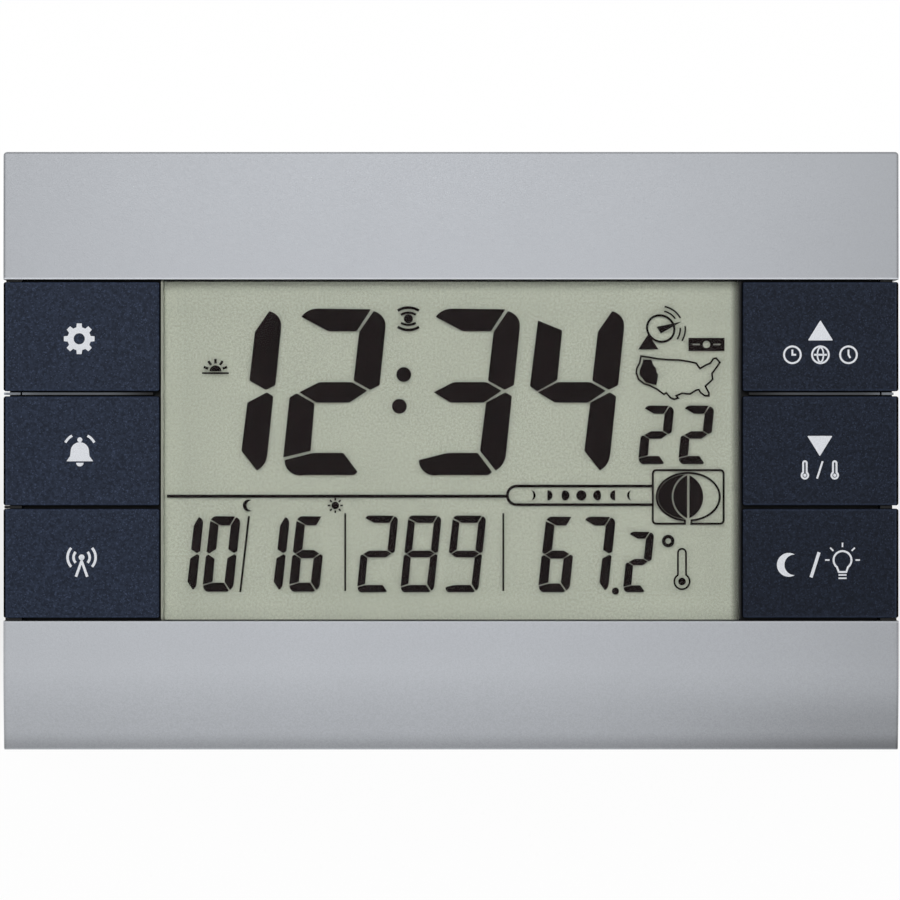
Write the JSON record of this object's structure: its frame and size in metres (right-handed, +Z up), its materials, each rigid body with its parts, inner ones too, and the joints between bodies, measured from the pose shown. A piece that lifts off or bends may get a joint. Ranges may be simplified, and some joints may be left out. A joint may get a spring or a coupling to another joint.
{
  "type": "digital alarm clock",
  "caption": "Desk alarm clock with a wide liquid crystal display between silver bars, side keys, a fold-out stand and a battery bay at the back.",
  "frame": {"origin": "middle of the bounding box at table height, with the stand open", "axes": "+X to the right seen from the front, +Y to the back, +Z up; the display faces -Y and leans back by 12 degrees"},
  "size_m": [0.15, 0.0458, 0.0984],
  "materials": {
    "silver_paint": "satin silver paint on moulded plastic",
    "rear_plastic": "fine spark-eroded grey",
    "navy_plastic": "dark navy with a fine metallic fleck",
    "black_plastic": "matt black",
    "clear_plastic": "clear polished acrylic",
    "display_glass": "reflective grey-green liquid crystal panel",
    "white_plastic": "milky diffuser",
    "strip_rubber": "striped elastomer",
    "foot_rubber": "matt rubber",
    "board": "green solder mask on glass fibre",
    "steel": "zinc-plated steel",
    "ferrite": "dull dark ferrite",
    "copper": "enamelled copper wire",
    "brass": "bright brass",
    "cell_jacket": "plain printed sleeve",
    "red_lead": "smooth insulation",
    "black_lead": "smooth insulation"
  },
  "bodies": {
    "root": {"front_shell": "silver_paint", "inner_frame": "black_plastic", "rear_shell": "rear_plastic", "display_window": "clear_plastic", "display_panel": "display_glass", "backlight_panel": "white_plastic", "connector_strip": "strip_rubber", "backlight_lamp": "white_plastic", "set_switch": "black_plastic", "alarm_switch": "black_plastic", "wave_switch": "black_plastic", "up_switch": "black_plastic", "down_switch": "black_plastic", "light_switch": "black_plastic", "main_board": "board", "board_screw_1": "steel", "board_screw_2": "steel", "board_screw_3": "steel", "board_screw_4": "steel", "chip_cap": "black_plastic", "quartz_crystal": "steel", "temperature_sensor": "black_plastic", "capacitor": "black_plastic", "ferrite_rod": "ferrite", "aerial_winding": "copper", "receiver_board": "board", "case_screw_1": "steel", "case_screw_2": "steel", "case_screw_3": "steel", "case_screw_4": "steel", "sounder_disc": "brass", "cell_upper": "cell_jacket", "cell_lower": "cell_jacket", "bridge_plate": "steel", "negative_plate": "steel", "positive_plate": "steel", "bridge_spring": "steel", "negative_spring": "steel", "negative_lead": "black_lead", "positive_lead": "red_lead", "stand_pin": "steel", "foot_1": "foot_rubber", "foot_2": "foot_rubber", "foot_3": "foot_rubber", "foot_4": "foot_rubber"},
    "set_key": {"set_key": "navy_plastic", "set_plunger": "black_plastic"},
    "alarm_key": {"alarm_key": "navy_plastic", "alarm_plunger": "black_plastic"},
    "wave_key": {"wave_key": "navy_plastic", "wave_plunger": "black_plastic"},
    "up_key": {"up_key": "navy_plastic", "up_plunger": "black_plastic"},
    "down_key": {"down_key": "navy_plastic", "down_plunger": "black_plastic"},
    "light_key": {"light_key": "navy_plastic", "light_plunger": "black_plastic"},
    "stand": {"stand_leg": "rear_plastic", "stand_foot": "foot_rubber"},
    "battery_door": {"battery_door": "rear_plastic"}
  },
  "joints": [
    {"name": "set_press", "type": "slide", "parent": "root", "child": "set_key", "axis": [0, 0.9781, -0.2079], "range_m": [0, 0.0008], "stiffness_N_per_m": 400, "springref_m": -0.002},
    {"name": "alarm_press", "type": "slide", "parent": "root", "child": "alarm_key", "axis": [0, 0.9781, -0.2079], "range_m": [0, 0.0008], "stiffness_N_per_m": 400, "springref_m": -0.002},
    {"name": "wave_press", "type": "slide", "parent": "root", "child": "wave_key", "axis": [0, 0.9781, -0.2079], "range_m": [0, 0.0008], "stiffness_N_per_m": 400, "springref_m": -0.002},
    {"name": "up_press", "type": "slide", "parent": "root", "child": "up_key", "axis": [0, 0.9781, -0.2079], "range_m": [0, 0.0008], "stiffness_N_per_m": 400, "springref_m": -0.002},
    {"name": "down_press", "type": "slide", "parent": "root", "child": "down_key", "axis": [0, 0.9781, -0.2079], "range_m": [0, 0.0008], "stiffness_N_per_m": 400, "springref_m": -0.002},
    {"name": "light_press", "type": "slide", "parent": "root", "child": "light_key", "axis": [0, 0.9781, -0.2079], "range_m": [0, 0.0008], "stiffness_N_per_m": 400, "springref_m": -0.002},
    {"name": "stand_fold", "type": "hinge", "parent": "root", "child": "stand", "pos_m": [0, 0.01221, 0.046], "axis": [-1, 0, 0], "range_deg": [0, 20]},
    {"name": "door_swing", "type": "hinge", "parent": "root", "child": "battery_door", "pos_m": [0, 0.01493, 0.05467], "axis": [-1, 0, 0], "range_deg": [0, 70]}
  ]
}
